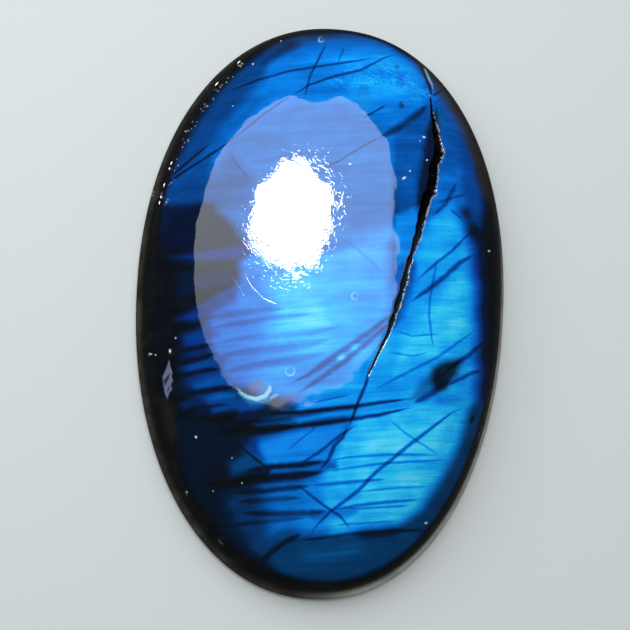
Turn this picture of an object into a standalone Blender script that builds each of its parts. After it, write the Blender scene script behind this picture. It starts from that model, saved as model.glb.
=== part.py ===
"""An oval labradorite cabochon: one polished stone with a flat back, a leaning side wall and a low dome.

Units are metres and +Z is up. The origin is under the middle of the stone, on the plane it rests on. The
long axis of the oval runs along Y, and the blunter end is at +Y.
"""

import math

import bmesh
import bpy
from mathutils import Matrix, Vector

MM = 0.001

# Overall sizes of the stone
LENGTH = 37.0 * MM
WIDTH = 23.5 * MM
THICKNESS = 7.0 * MM

# The plan is a superellipse, where 2 would be a plain ellipse. It widens towards +Y and both ends lean to +X
SQUARENESS = 2.14
EGG = 0.025
END_DRIFT = 0.23 * MM

# The side: a small bevel round the flat back, then a polished wall that leans inwards
BEVEL_HEIGHT = 0.35 * MM
BEVEL_INSET = 0.30 * MM
WALL_HEIGHT = 1.80 * MM
WALL_LEAN = 0.65 * MM

# The dome's profile: an even round crown, whose remaining fall comes late, at tight shoulders over the wall
CROWN_SHARE = 0.6
SHOULDER_POWER = 6
FOOT_POWER = 0.8

# How finely the smooth faces are divided
PLAN_SEGMENTS = 112
DOME_RINGS = 15
RING_CROWDING = 0.8
WALL_RINGS = 2
SHARP_ANGLE = math.radians(32)
SLOPE_STEP = 0.02 * MM

# The open fissure on the dome: each point is x, y and the width of the opening there, in millimetres
FISSURE = (
    (5.90, 13.7, 0.12),
    (6.00, 12.2, 0.22),
    (6.30, 10.7, 0.45),
    (6.45, 9.5, 0.66),
    (6.15, 8.4, 0.60),
    (6.05, 7.4, 0.66),
    (5.75, 6.4, 0.64),
    (5.40, 5.2, 0.52),
    (5.15, 3.8, 0.42),
    (4.75, 2.4, 0.28),
    (4.50, 1.4, 0.30),
    (4.25, 0.2, 0.38),
    (3.90, -1.2, 0.32),
    (3.50, -2.6, 0.20),
    (2.90, -4.0, 0.12),
    (2.35, -5.4, 0.08),
)
FISSURE_LEAST_DEPTH = 0.15 * MM
FISSURE_DEPTH_PER_WIDTH = 0.75
FISSURE_DIP = 0.35
CUTTER_RISE = 0.25 * MM

# Shallow hollows in the polish: x, y, radius across, radius along and depth, in millimetres
SCOOP = (-4.35, -6.35, 0.75, 0.75, 0.10)
SHOULDER_CHIP = (-9.75, -5.90, 0.42, 1.30, 0.09)
RIM_NOTCH = (-10.95, 6.55, 0.40, 0.55, 0.16)
CUTTER_SEGMENTS = 24
CUTTER_RINGS = 12
CAP_REACH = 2.2

# What the stone looks like as a whole: deep blue with a glassy polish
STONE_COLOUR = (0.010, 0.090, 0.330, 1.0)
STONE_ROUGHNESS = 0.07


def clear_scene():
    for old in list(bpy.data.objects):
        bpy.data.objects.remove(old, do_unlink=True)


def stone_material():
    material = bpy.data.materials.new("labradorite")
    material.use_nodes = True
    shader = material.node_tree.nodes["Principled BSDF"]
    shader.inputs["Base Color"].default_value = STONE_COLOUR
    shader.inputs["Roughness"].default_value = STONE_ROUGHNESS
    shader.inputs["Metallic"].default_value = 0.0
    material.diffuse_color = STONE_COLOUR
    return material


def plan_point(angle, half_width, half_length):
    """A point on the oval of these half sizes, drawn out to the stone's egg shape."""
    across = math.cos(angle)
    along = math.sin(angle)
    reach = (abs(across) ** SQUARENESS + abs(along) ** SQUARENESS) ** (1 / SQUARENESS)
    y = half_length * along / reach
    share = y / (LENGTH / 2)
    x = half_width * across / reach * (1 + EGG * share) + END_DRIFT * share**2
    return x, y


def dome_foot():
    """Half width, half length and height of the oval where the wall ends and the dome begins."""
    return WIDTH / 2 - WALL_LEAN, LENGTH / 2 - WALL_LEAN, BEVEL_HEIGHT + WALL_HEIGHT


def dome_height(spread):
    """Height of the dome where spread is 0 at its middle and 1 at its foot."""
    foot = dome_foot()[2]
    fall = CROWN_SHARE * spread**2 + (1 - CROWN_SHARE) * spread**SHOULDER_POWER
    return foot + (THICKNESS - foot) * max(0.0, 1 - fall) ** FOOT_POWER


def surface_point(x, y):
    """The point of the dome above x, y."""
    half_width, half_length, _ = dome_foot()
    share = y / (LENGTH / 2)
    straight_x = (x - END_DRIFT * share**2) / (1 + EGG * share)
    across = abs(straight_x / half_width) ** SQUARENESS
    along = abs(y / half_length) ** SQUARENESS
    return Vector((x, y, dome_height((across + along) ** (1 / SQUARENESS))))


def surface_normal(x, y):
    east = surface_point(x + SLOPE_STEP, y) - surface_point(x - SLOPE_STEP, y)
    north = surface_point(x, y + SLOPE_STEP) - surface_point(x, y - SLOPE_STEP)
    return east.cross(north).normalized()


def stone_rings():
    """Half width, half length and height of every ring of the stone, from its back to the top of its dome."""
    rings = [(WIDTH / 2 - BEVEL_INSET, LENGTH / 2 - BEVEL_INSET, 0.0)]
    for step in range(WALL_RINGS + 1):
        share = step / WALL_RINGS
        inset = WALL_LEAN * share
        rings.append((WIDTH / 2 - inset, LENGTH / 2 - inset, BEVEL_HEIGHT + WALL_HEIGHT * share))
    half_width, half_length, _ = dome_foot()
    for step in range(1, DOME_RINGS):
        spread = math.cos(math.pi / 2 * step / DOME_RINGS) ** RING_CROWDING
        rings.append((half_width * spread, half_length * spread, dome_height(spread)))
    return rings


def stone_body(material):
    body = bmesh.new()
    below = None
    for half_width, half_length, height in stone_rings():
        ring = []
        for segment in range(PLAN_SEGMENTS):
            x, y = plan_point(math.tau * segment / PLAN_SEGMENTS, half_width, half_length)
            ring.append(body.verts.new((x, y, height)))
        if below is None:
            body.faces.new(reversed(ring))
        else:
            join_rings(body, below, ring)
        below = ring
    top = body.verts.new((0.0, 0.0, THICKNESS))
    for segment, corner in enumerate(below):
        body.faces.new((corner, below[(segment + 1) % PLAN_SEGMENTS], top))
    return mesh_object("cabochon", body, material)


def join_rings(body, below, above):
    for segment, corner in enumerate(below):
        after = (segment + 1) % len(below)
        body.faces.new((corner, below[after], above[after], above[segment]))


def fissure_cutter():
    """A long wedge that opens the fissure: three corners at each point of its route, joined by walls."""
    cutter = bmesh.new()
    before = None
    for index, (x, y, width) in enumerate(FISSURE):
        ahead = FISSURE[min(index + 1, len(FISSURE) - 1)]
        behind = FISSURE[max(index - 1, 0)]
        along = Vector((ahead[0] - behind[0], ahead[1] - behind[1], 0)).normalized()
        up = surface_normal(x * MM, y * MM)
        side = along.cross(up).normalized()
        middle = surface_point(x * MM, y * MM)
        depth = FISSURE_LEAST_DEPTH + FISSURE_DEPTH_PER_WIDTH * width * MM
        half = width * MM / 2 * (1 + CUTTER_RISE / depth)
        corners = (
            middle + up * CUTTER_RISE - side * half,
            middle + up * CUTTER_RISE + side * half,
            middle - up * depth + side * width * MM * FISSURE_DIP,
        )
        section = [cutter.verts.new(corner) for corner in corners]
        if before is None:
            cutter.faces.new(section)
        else:
            join_rings(cutter, before, section)
        before = section
    cutter.faces.new(reversed(before))
    bmesh.ops.recalc_face_normals(cutter, faces=cutter.faces[:])
    return mesh_object("fissure_cutter", cutter)


def hollow_cutter(name, hollow):
    """The lower cap of a large ball, which cuts a shallow hollow of these radii and depth."""
    x, y, across, along, depth = (value * MM for value in hollow)
    up = surface_normal(x, y)
    east = Vector((0.0, 1.0, 0.0)).cross(up).normalized()
    north = up.cross(east)
    turn = Matrix((east, north, up)).transposed().to_4x4()
    stretch = Matrix.Diagonal((1.0, along / across, 1.0, 1.0))
    ball_radius = (across**2 + depth**2) / (2 * depth)
    place = Matrix.Translation(surface_point(x, y) + up * (ball_radius - depth))
    cap_lean = CAP_REACH * math.asin(across / ball_radius)
    ball = bmesh.new()
    low = ball.verts.new((0.0, 0.0, -ball_radius))
    before = None
    for step in range(1, CUTTER_RINGS + 1):
        lean = cap_lean * step / CUTTER_RINGS
        radius = ball_radius * math.sin(lean)
        height = -ball_radius * math.cos(lean)
        ring = []
        for segment in range(CUTTER_SEGMENTS):
            angle = math.tau * segment / CUTTER_SEGMENTS
            ring.append(ball.verts.new((radius * math.cos(angle), radius * math.sin(angle), height)))
        if before is None:
            for segment, corner in enumerate(ring):
                ball.faces.new((low, ring[(segment + 1) % CUTTER_SEGMENTS], corner))
        else:
            join_rings(ball, before, ring)
        before = ring
    ball.faces.new(before)
    ball.transform(place @ turn @ stretch)
    bmesh.ops.recalc_face_normals(ball, faces=ball.faces[:])
    return mesh_object(name, ball)


def mesh_object(name, shape, material=None):
    mesh = bpy.data.meshes.new(name)
    shape.to_mesh(mesh)
    shape.free()
    made = bpy.data.objects.new(name, mesh)
    bpy.context.scene.collection.objects.link(made)
    if material is not None:
        mesh.materials.append(material)
    return made


def cut(body, cutter):
    cutter.hide_render = True
    cutter.display_type = "WIRE"
    modifier = body.modifiers.new(cutter.name, "BOOLEAN")
    modifier.operation = "DIFFERENCE"
    modifier.solver = "EXACT"
    modifier.object = cutter


def build():
    clear_scene()
    stone = stone_body(stone_material())
    cut(stone, fissure_cutter())
    cut(stone, hollow_cutter("scoop_cutter", SCOOP))
    cut(stone, hollow_cutter("shoulder_chip_cutter", SHOULDER_CHIP))
    cut(stone, hollow_cutter("rim_notch_cutter", RIM_NOTCH))
    stone.data.shade_smooth()
    stone.data.set_sharp_from_angle(angle=SHARP_ANGLE)


build()
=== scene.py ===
"""The looks of the oval labradorite cabochon: its polished surface, its open fissure and its blue flash.

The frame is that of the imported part: +Z up, +Y along the oval, the origin under its middle, in metres. Places
that are seen through the polish, such as inner cracks and pools of flash, are written as pixels of the 630 by
630 picture and are kept on the stone as attributes of its mesh.
"""

import math

import bmesh
import bpy
import numpy as np
from mathutils import Matrix, Vector


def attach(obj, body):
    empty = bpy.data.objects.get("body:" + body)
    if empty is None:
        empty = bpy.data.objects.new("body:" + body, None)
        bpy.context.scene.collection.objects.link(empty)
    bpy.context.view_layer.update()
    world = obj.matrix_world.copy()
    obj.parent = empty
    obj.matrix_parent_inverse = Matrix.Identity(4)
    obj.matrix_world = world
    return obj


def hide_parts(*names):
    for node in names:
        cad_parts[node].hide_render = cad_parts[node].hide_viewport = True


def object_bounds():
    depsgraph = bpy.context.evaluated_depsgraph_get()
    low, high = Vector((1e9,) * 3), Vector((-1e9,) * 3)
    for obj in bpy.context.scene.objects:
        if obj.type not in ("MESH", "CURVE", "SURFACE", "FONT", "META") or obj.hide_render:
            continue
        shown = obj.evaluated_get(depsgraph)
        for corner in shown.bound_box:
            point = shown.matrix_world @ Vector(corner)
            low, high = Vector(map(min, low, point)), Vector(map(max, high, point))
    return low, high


MM = 0.001
PICTURE = 630
PIXEL = 0.0625 * MM

# The stone's form, as the part has it
WIDTH = 23.5 * MM
LENGTH = 37.0 * MM
SQUARENESS = 2.14
EGG = 0.025
END_DRIFT = 0.23 * MM
BEVEL_HEIGHT = 0.35 * MM
BEVEL_INSET = 0.30 * MM
WALL_HEIGHT = 1.80 * MM
WALL_LEAN = 0.65 * MM
CROWN_SHARE = 0.6
SHOULDER_POWER = 6
FOOT_POWER = 0.8

# How finely the stone is divided: grid lines over the dome, rings down the wall and round the bevel
DOME_ACROSS = 184
DOME_ALONG = 290
WALL_STEPS = 5
BEVEL_STEPS = 4
MERGE_DISTANCE = 0.002 * MM
FINE_CUTS = 2
FINE_MARGIN = 0.22 * MM
SHARP_ANGLE = math.radians(35)

# Arithmetic: the step over which a slope is taken, what keeps a division from zero, and rounds of sight
SLOPE_STEP = 0.02 * MM
TINY = 1e-6
SIGHT_ROUNDS = 40

# The camera looks down at the dome, a little from below and from the left of the picture
TILT_ALONG = math.radians(11)
TILT_ACROSS = math.radians(6)
ROLL = math.radians(2.73)
DISTANCE = 150 * MM
AIM = Vector((-0.645, -1.027, 3.0)) * MM
LENS = 137.18
SENSOR = 36.0
CLIP_START = 0.01
CLIP_END = 10.0

# The open fissure, on the part's route but cut deeper: x, y and width in millimetres
FISSURE = (
    (5.90, 13.7, 0.12),
    (6.00, 12.2, 0.22),
    (6.30, 10.7, 0.45),
    (6.45, 9.5, 0.66),
    (6.15, 8.4, 0.60),
    (6.05, 7.4, 0.66),
    (5.75, 6.4, 0.64),
    (5.40, 5.2, 0.52),
    (5.15, 3.8, 0.42),
    (4.75, 2.4, 0.28),
    (4.50, 1.4, 0.30),
    (4.25, 0.2, 0.38),
    (3.90, -1.2, 0.32),
    (3.50, -2.6, 0.20),
    (2.90, -4.0, 0.12),
    (2.35, -5.4, 0.08),
)
FISSURE_LEAST_DEPTH = 0.15 * MM
FISSURE_DEPTH_PER_WIDTH = 1.25
FISSURE_DIP = 0.35
LIP_RAGGEDNESS = 0.20
LIP_TOOTH = 0.9 * MM
FISSURE_TAPER = 0.03

# Shallow hollows: x, y, radius across, radius along and depth, in millimetres. The part has the first three,
# the scoop deeper than here
HOLLOWS = {
    "scoop": (-4.35, -6.35, 0.75, 0.75, 0.010),
    "shoulder chip": (-9.75, -5.90, 0.42, 1.30, 0.09),
    "rim notch": (-10.95, 6.55, 0.40, 0.55, 0.16),
    "pit below the middle": (1.36, -0.41, 0.26, 0.26, 0.008),
    "pit beside the scoop": (-2.43, -5.25, 0.30, 0.30, 0.008),
    "pit at the top": (4.06, 12.39, 0.12, 0.12, 0.04),
}

# A glittering row of tiny nicks round the upper left shoulder, painted as gold glints
GLITTER = 46
GLITTER_ANGLES = (math.radians(122), math.radians(163))
GLITTER_SPREAD = (0.96, 1.0)

# Hand polish leaves low waves on the dome: how many are added up, their lengths and their steepness
POLISH_WAVES = 40
POLISH_WAVE_LENGTHS = (0.5 * MM, 2.6 * MM)
POLISH_SLOPE = 0.010
SEED = 29

# Smooth random fields: how many waves make one, and their lengths as shares of the length asked for
WANDER_WAVES = 12
WANDER_LENGTHS = (0.7, 1.6)
HOLLOW_UNEVENNESS = 0.16
HOLLOW_RIPPLE = 0.7

# Light: a large oval card whose mirror image lies on the dome, and a small bright lamp in it
CARD_DISTANCE = 250 * MM
LAMP_DISTANCE = 240 * MM
CARD_RINGS = 8
CARD_CORE = 0.001
CARD_OUTLINE = (
    (289, 97), (314, 102), (341, 97), (355, 104), (369, 120), (387, 139), (391, 156), (396, 186),
    (395, 218), (397, 260), (389, 318), (369, 352), (357, 376), (331, 390), (285, 409), (248, 396),
    (227, 381), (212, 354), (197, 312), (194, 260), (196, 224), (205, 194), (215, 161), (233, 135),
    (258, 113),
)
CARD_STRENGTH = 3.1
CARD_FADE = (230, 340)
CARD_FADED = 0.58
LAMP_OUTLINE = (
    (286, 159), (305, 160), (322, 177), (333, 190), (334, 212), (326, 233), (319, 255), (312, 269),
    (297, 274), (283, 270), (263, 264), (253, 245), (247, 226), (251, 207), (258, 188), (270, 176),
    (279, 165),
)
LAMP_FADE_FROM = (262, 250)
LAMP_FADE_TURN = math.radians(139)
LAMP_FADE = (-10, 9)
LAMP_LOSS = 0.96
LAMP_MIDDLE = (291, 214)
LAMP_HALF_SIZES = (45, 57)
LAMP_STRENGTH = 40.0
LIGHT_COLOUR = (0.94, 0.98, 1.0, 1.0)
WORLD_COLOUR = (1.0, 1.0, 1.0, 1.0)
WORLD_LIGHT = 0.40
WORLD_GLOSS = 0.025
WORLD_SEEN = (0.70, 0.74, 0.74, 1.0)
FLOOR_HALF_SIZE = 3.0
FLOOR_COLOUR = (0.56, 0.59, 0.59, 1.0)
FLOOR_ROUGHNESS = 0.6

# Pools of flash, the sheen that the stone's inner layers reflect, painted one over another as it shows from the
# camera's side: tone from 0 (black) to 1 (pale cyan), hue from -1 (teal) to 1 (indigo), softness of the edge
# in pixels, and corners in pixels
POOLS = {
    "top field": (0.46, 0.0, 10, ((196, 146), (236, 78), (274, 46), (300, 38), (345, 34), (392, 44),
        (436, 84), (440, 150), (330, 200), (225, 190))),
    "top edge": (0.40, 0.0, 4, ((276, 46), (290, 40), (345, 33), (392, 42), (350, 50), (292, 54))),
    "right of the fissure, above": (0.34, 0.1, 6, ((420, 76), (444, 84), (466, 130), (474, 200),
        (425, 210), (430, 140))),
    "right of the fissure, middle": (0.43, 0.1, 7, ((430, 174), (460, 172), (468, 206), (425, 210))),
    "top glow": (0.58, 0.0, 12, ((340, 60), (388, 50), (426, 80), (432, 98), (392, 98), (352, 94))),
    "teal shard": (0.50, -0.3, 1.5, ((356, 90), (362, 84), (369, 86), (369, 113), (364, 116), (359, 106))),
    "dark shard": (0.46, 0.4, 4, ((397, 75), (404, 73), (405, 86), (399, 88))),
    "teal facet by the fissure": (0.37, -0.8, 1.6, ((435, 111), (442, 109), (443, 124), (439, 133))),
    "upper rim": (0.20, 0.0, 5, ((228, 88), (258, 58), (290, 38), (300, 44), (270, 62), (244, 90))),
    "upper left": (0.24, 0.1, 9, ((160, 190), (186, 140), (214, 98), (258, 60), (266, 78), (236, 112),
        (214, 150), (196, 208), (166, 230))),
    "upper left gleam": (0.35, 0.0, 7, ((184, 176), (222, 126), (258, 98), (250, 118), (205, 160),
        (176, 182))),
    "behind the light, above": (0.43, -0.15, 10, ((228, 140), (300, 100), (382, 120), (398, 170),
        (398, 240), (250, 250), (215, 205))),
    "behind the light, left": (0.32, -0.1, 9, ((196, 202), (206, 168), (232, 150), (255, 190), (248, 212),
        (215, 214))),
    "indigo border": (0.20, 0.6, 8, ((440, 236), (478, 236), (483, 262), (485, 380), (480, 424),
        (440, 420))),
    "right field": (0.62, 0.0, 9, ((428, 214), (452, 200), (466, 226), (475, 290), (476, 380), (470, 430),
        (420, 450), (350, 400), (384, 330), (410, 250))),
    "right shade": (0.28, 0.3, 8, ((460, 138), (470, 140), (482, 190), (482, 228), (468, 222), (464, 180))),
    "right field, glow": (0.76, 0.0, 9, ((436, 300), (463, 276), (470, 330), (446, 350), (396, 370),
        (404, 338))),
    "right field, upper glow": (0.66, 0.0, 6, ((424, 240), (446, 216), (458, 230), (440, 262), (418, 272))),
    "royal beside the fissure": (0.32, 0.1, 3.5, ((392, 140), (410, 124), (438, 100), (440, 150),
        (430, 198), (422, 211), (400, 213), (397, 190))),
    "bright wedge": (0.52, 0.0, 3, ((396, 214), (426, 203), (420, 240), (412, 262), (396, 268))),
    "dark foot of the wedge": (0.40, 0.3, 4, ((398, 268), (411, 260), (402, 300), (392, 322), (396, 290))),
    "beside the grey lobe": (0.50, 0.1, 9, ((240, 262), (262, 236), (276, 262), (274, 312), (244, 308),
        (236, 286))),
    "middle": (0.68, 0.0, 14, ((264, 262), (392, 232), (396, 300), (385, 335), (360, 396), (300, 404),
        (264, 386), (260, 330))),
    "middle, below": (0.55, 0.0, 9, ((290, 364), (352, 352), (345, 380), (300, 398), (276, 392))),
    "left of the light": (0.45, 0.2, 11, ((204, 308), (240, 284), (276, 296), (276, 345), (262, 392),
        (226, 384), (206, 344))),
    "from the left to the middle": (0.60, 0.1, 16, ((252, 306), (290, 300), (292, 392), (258, 398))),
    "bright heart": (0.78, 0.0, 16, ((272, 282), (300, 272), (330, 290), (332, 340), (300, 352),
        (274, 336))),
    "pale island": (0.90, 0.0, 2, ((349, 345), (355, 342), (361, 345), (360, 349), (352, 350.5))),
    "smaller pale island": (0.88, 0.0, 2, ((337, 357), (342, 354), (346, 357), (343, 361), (338, 361))),
    "grey lobe": (0.06, 0.5, 9, ((164, 206), (214, 204), (224, 226), (214, 250), (164, 250))),
    "indigo stripe": (0.21, 0.7, 6, ((170, 258), (236, 242), (252, 252), (236, 261), (196, 263))),
    "grey stripe": (0.08, 0.0, 5, ((178, 272), (208, 268), (224, 272), (208, 290), (178, 296))),
    "lower left, dim": (0.20, -0.1, 16, ((220, 496), (290, 478), (300, 556), (260, 560), (228, 528))),
    "lower left": (0.46, -0.1, 14, ((262, 486), (330, 474), (330, 534), (270, 536))),
    "lower middle": (0.54, 0.0, 11, ((306, 484), (350, 470), (352, 536), (302, 534))),
    "lower right, border": (0.22, -0.5, 8, ((440, 400), (486, 404), (478, 440), (462, 480), (434, 532),
        (400, 545), (392, 500))),
    "lower right": (0.72, 0.0, 8, ((334, 442), (356, 414), (392, 400), (469, 402), (459, 446), (440, 480),
        (422, 506), (396, 526), (332, 534), (320, 484))),
    "lower right, glow": (0.81, 0.0, 9, ((356, 446), (396, 420), (444, 424), (434, 464), (420, 492),
        (362, 500))),
    "blue window": (0.53, 0.1, 7, ((250, 442), (300, 429), (350, 420), (334, 460), (300, 464), (262, 468))),
    "left end of the window": (0.22, 0.6, 6, ((236, 444), (258, 438), (262, 456), (246, 454))),
    "below the window": (0.36, 0.0, 3, ((268, 469), (300, 465), (336, 461), (338, 469), (300, 473),
        (270, 476))),
    "teal window": (0.26, -0.4, 8, ((226, 460), (250, 450), (266, 466), (232, 476))),
    "foot": (0.25, -0.5, 10, ((256, 546), (330, 538), (430, 534), (412, 566), (366, 590), (320, 594),
        (280, 580))),
    "foot gleam": (0.31, -0.5, 9, ((300, 545), (360, 540), (366, 556), (310, 562))),
    "foot, edge": (0.15, -0.3, 5, ((288, 580), (330, 588), (400, 568), (396, 580), (340, 602), (290, 596))),
    "left streak, high": (0.13, 0.7, 5, ((196, 276), (232, 270), (232, 286), (200, 290))),
    "flash edge": (0.22, 0.7, 5, ((174, 318), (236, 290), (238, 302), (194, 322))),
    "left streaks": (0.17, 0.5, 9, ((186, 334), (203, 336), (232, 398), (200, 412), (182, 386))),
    "left streak, middle": (0.24, 0.5, 6, ((182, 336), (206, 327), (216, 334), (206, 342), (188, 345))),
    "left streak, low": (0.27, 0.2, 6, ((178, 369), (200, 360), (230, 356), (222, 365), (196, 372))),
    "azure streak": (0.36, 0.0, 6, ((194, 386), (206, 379), (228, 373), (229, 380), (208, 388),
        (198, 391))),
    "teal streak": (0.32, -0.2, 5, ((204, 399), (218, 393), (238, 392), (232, 401), (210, 403))),
    "hidden streak": (0.16, 0.3, 4, ((180, 404), (200, 398), (206, 404), (184, 411))),
    "below the scoop": (0.28, 0.4, 5, ((240, 404), (262, 400), (258, 414), (236, 418))),
    "below the middle": (0.60, 0.0, 4, ((290, 402), (330, 398), (372, 386), (412, 390), (402, 400),
        (350, 407), (296, 412))),
    "under the scoop, left": (0.27, 0.2, 6, ((208, 404), (246, 395), (250, 408), (214, 414))),
    "under the stain": (0.26, -0.3, 5, ((256, 408), (296, 404), (296, 416), (262, 418))),
    "between the dark bands": (0.32, -0.3, 4, ((252, 423), (300, 416), (300, 423), (258, 428))),
    "between the dark bands, right": (0.54, 0.0, 4, ((292, 417), (348, 409), (404, 402), (412, 406),
        (350, 417), (300, 422))),
    "dark left foot": (0.06, -0.3, 12, ((170, 420), (236, 422), (250, 440), (214, 470), (226, 520),
        (190, 500))),
}

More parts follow.
